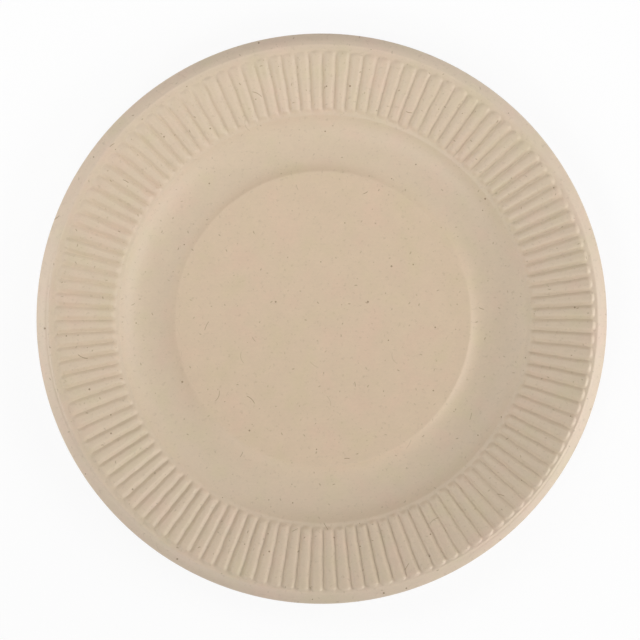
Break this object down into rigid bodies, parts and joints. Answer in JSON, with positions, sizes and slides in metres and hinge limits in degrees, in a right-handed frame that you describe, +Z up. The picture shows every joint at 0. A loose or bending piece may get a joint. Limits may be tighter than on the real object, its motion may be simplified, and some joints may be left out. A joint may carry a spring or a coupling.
{
  "type": "bagasse plate",
  "caption": "Round shallow dinner plate pressed from one sheet of unbleached bagasse pulp, with a raised flat middle, a curved well wall, a radially ribbed rim and a turned-down lip.",
  "frame": {"origin": "on the table, under the middle of the plate", "axes": "+Z up out of the well, along the plate's axis; +X and +Y are equal by symmetry, and +X runs along the middle of one rib"},
  "size_m": [0.223, 0.223, 0.0167],
  "materials": {
    "bagasse_pulp": "matte pressed pulp"
  },
  "bodies": {
    "root": {"plate": "bagasse_pulp"}
  },
  "joints": []
}
